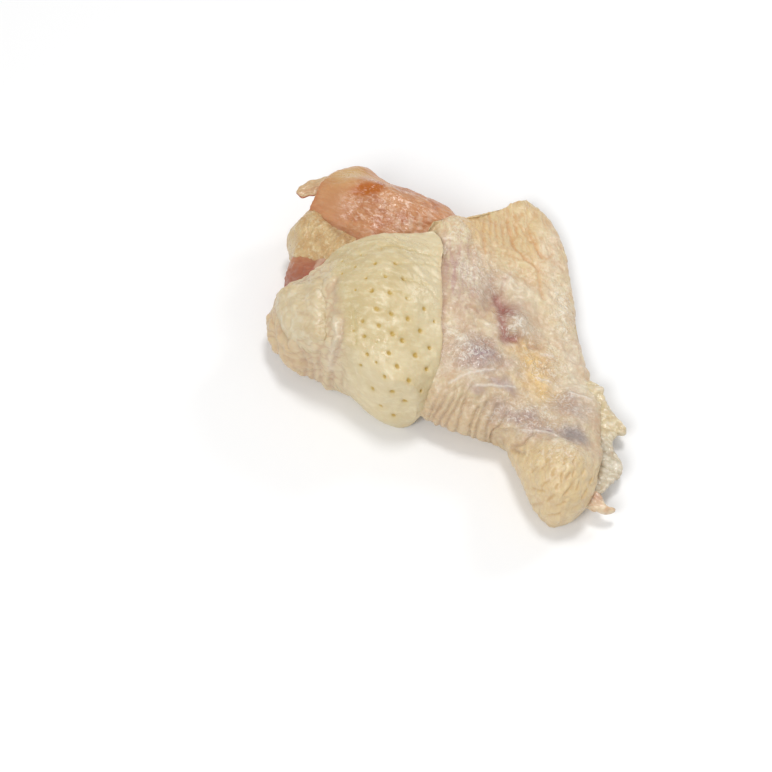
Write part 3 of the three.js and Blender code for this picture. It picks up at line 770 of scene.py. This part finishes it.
form = pillow(
    left=[(-41.2, 31.5, 9), (-38.6, 25.5, 8), (-34, 20.5, 9), (-28.5, 20, 14), (-24.5, 22, 20)],
    right=[(-40.7, 36, 10), (-37.5, 38.5, 11), (-34.5, 41, 13), (-30, 33, 18), (-26, 27.5, 22),
           (-23, 25, 23)],
    top=lambda x, y: 17 + 0.5 * (x + 36) + hill(x, y, (-36, 34), 5, 5, 0, 1),
    base=lambda x, y: np.full(x.shape, 2.0),
    rows=200, upper=120, lower=60, ends=(0.25, 0.2))
place = form[0]
loose = place + 0.7 * np.stack([lumps(place, 3, k) for k in (7, 8, 9)], -1)
grains = pads(turned(loose, 65), (2.2, 1.4, 2), 51)
smooth = spot(place, (-40, 30, 14), (3, 5, 6))
nub = spot(place, (-40.5, 33.8, 12), (2.2, 1.7, 4))
lift = 0.45 * lumps(place, 4, 50) + (1 - smooth) * (0.35 * grains + 0.15 * pads(loose, 1.2, 52)) - 0.2
lift += 1.6 * spot(place, (-36.5, 26.5, 13), (4, 3.5, 6)) + 0.7 * nub
fat = shaped("shoulder_fat_grains", form, lift, {
    "grains": np.exp(-(grains / 0.14) ** 2) * (1 - smooth), "smooth": np.maximum(smooth, nub),
    "brown": near(place, 0.6, [(329, 224), (338, 232), (345, 236), (350, 244)])})


def fat_paint(wire):
    """Grainy yellow fat with pale flecks, with painted shade between its grains and brown painted shade along
    the muscle.
    """
    speck = wire.cloud(0.6, detail=2, rough=0.7)
    patch = wire.cloud(1.2, detail=3, rough=0.6)
    colour = wire.cloud(3, detail=3).eased(0.35, 0.65).over(tint(188, 151, 102), tint(203, 174, 126))
    colour = (patch.eased(0.48, 0.68) * 0.65).over(colour, tint(216, 199, 160))
    colour = (wire.mask("smooth") * 0.5).over(colour, tint(209, 190, 146))
    # Painted shade: darker brown in the creases between the grains.
    colour = (wire.mask("grains") * 0.3).over(colour, tint(180, 142, 98))
    # Painted shade: brown where the fat meets the lower edge of the muscle's bulge.
    colour = (wire.mask("brown") * 0.6).over(colour, tint(160, 118, 74))
    return colour, 0.3 + 0.2 * (speck - 0.5), 0.08 * speck + 0.35 * patch


fat.data.materials.append(finish("yellow_fat", fat_paint, coat=0.15, film=0.25))
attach(fat, "root")
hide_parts("shoulder_fat")

form = pillow(
    left=[(-43, 11.5, 12), (-43.3, 9.5, 12.6), (-42.6, 5.4, 14), (-40.6, 1.7, 15.3), (-38.2, -1.7, 16.3),
          (-35.3, -4.2, 17.3), (-31.8, -5.3, 18.8), (-30, -5, 20)],
    right=[(-42, 12.9, 12.8), (-37.3, 12.8, 17.5), (-33.5, 13.2, 21), (-30.5, 12.6, 23.3), (-29.3, 9, 23.8),
           (-29.4, 5, 23.6), (-30.1, 1, 22.8), (-29.8, -2.7, 21.2), (-29.6, -4.6, 19.5)],
    top=lambda x, y: pored_top(x, y) + 1.2 - 1.6 * rise(-33.5, -29.5, x),
    base=lambda x, y: np.full(x.shape, 10.0),
    rows=240, upper=150, lower=50, ends=(0.1, 0.08))
place = form[0]
loose = place + 0.7 * np.stack([lumps(place, 3, k) for k in (7, 8, 9)], -1)
seam_shade = near(place, 0.6, [(299, 312), (306, 315), (314, 317), (321, 321)])
dents = pads(loose, 2.6, 62)
lift = (0.4 * lumps(place, 4.5, 61) + 0.3 * (np.sqrt(dents ** 2 + 0.01) - 0.1)
        + 0.08 * lumps(loose, 1, 63) - 0.25 * seam_shade)
lobe = shaped("cream_fat_lobe", form, lift, {"seam_shade": seam_shade, "dents": np.exp(-(dents / 0.1) ** 2)})


def lobe_paint(wire):
    """Smooth cream fat with painted shade along a soft fold across it and in its dents."""
    patch = wire.cloud(2, detail=4, rough=0.6)
    grain = wire.cloud(0.6, detail=2)
    colour = wire.cloud(5, detail=3).eased(0.35, 0.65).over(tint(198, 178, 140), tint(208, 192, 157))
    colour = (patch.eased(0.45, 0.7) * 0.55).over(colour, tint(219, 209, 186))
    # Painted shade: darker along the soft fold across the lobe.
    colour = (wire.mask("seam_shade") * 0.35).over(colour, tint(186, 154, 120))
    # Painted shade: darker in the creases between the dents.
    colour = (wire.mask("dents") * 0.25).over(colour, tint(184, 154, 124))
    return colour, 0.36 + 0.2 * (grain - 0.5), 0.25 * patch + 0.06 * grain


lobe.data.materials.append(finish("cream_fat", lobe_paint, coat=0.15, film=0.25))
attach(lobe, "root")
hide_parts("fat_lobe")

# ---- Table, light and camera ---------------------------------------------------------------------
# A plain white table under a soft lamp and a pale room, seen from the elbow's side, well from above.

mesh = bpy.data.meshes.new("table")
mesh.from_pydata([(-3, -3, 0), (3, -3, 0), (3, 3, 0), (-3, 3, 0)], [], [(0, 1, 2, 3)])
table = bpy.data.objects.new("table", mesh)
bpy.context.collection.objects.link(table)
white = bpy.data.materials.new("white_table")
white.use_nodes = True
white.node_tree.nodes["Principled BSDF"].inputs["Base Color"].default_value = (0.9, 0.9, 0.9, 1)
white.node_tree.nodes["Principled BSDF"].inputs["Roughness"].default_value = 0.8
mesh.materials.append(white)


def lamp(name, at, toward, size, watts):
    """A round soft lamp that shines from one place toward another."""
    light = bpy.data.lights.new(name, "AREA")
    light.shape = "DISK"
    light.size = size
    light.energy = watts
    made = bpy.data.objects.new(name, light)
    made.location = at
    aim = np.subtract(toward, at)
    made.rotation_euler = (math.atan2(math.hypot(aim[0], aim[1]), -aim[2]), 0, math.atan2(-aim[0], aim[1]))
    bpy.context.collection.objects.link(made)


lamp("softbox", (0.06, 0.16, 0.8), (0, 0, 0.01), 0.2, 2.3)
lamp("side", (0.5, 0.4, 0.42), (0, 0, 0.01), 0.2, 1.1)
lamp("fill", (-0.3, -0.5, 0.6), (0, 0, 0.01), 0.4, 2.9)

world = bpy.data.worlds.new("studio")
bpy.context.scene.world = world
world.use_nodes = True
world.node_tree.nodes["Background"].inputs["Color"].default_value = (1, 1, 1, 1)
world.node_tree.nodes["Background"].inputs["Strength"].default_value = 0.45
bpy.context.scene.view_settings.view_transform = "Standard"

camera = bpy.data.cameras.new("camera")
camera.lens = LENS
camera.sensor_width = SENSOR
camera.clip_start = 0.01
eye = bpy.data.objects.new("camera", camera)
back = REACH * np.array((0, -math.cos(SLOPE), math.sin(SLOPE)))
eye.location = (np.subtract(AIM, CENTRE) + back) / 1000
eye.rotation_euler = (math.pi / 2 - SLOPE, 0, 0)
bpy.context.collection.objects.link(eye)
bpy.context.scene.camera = eye
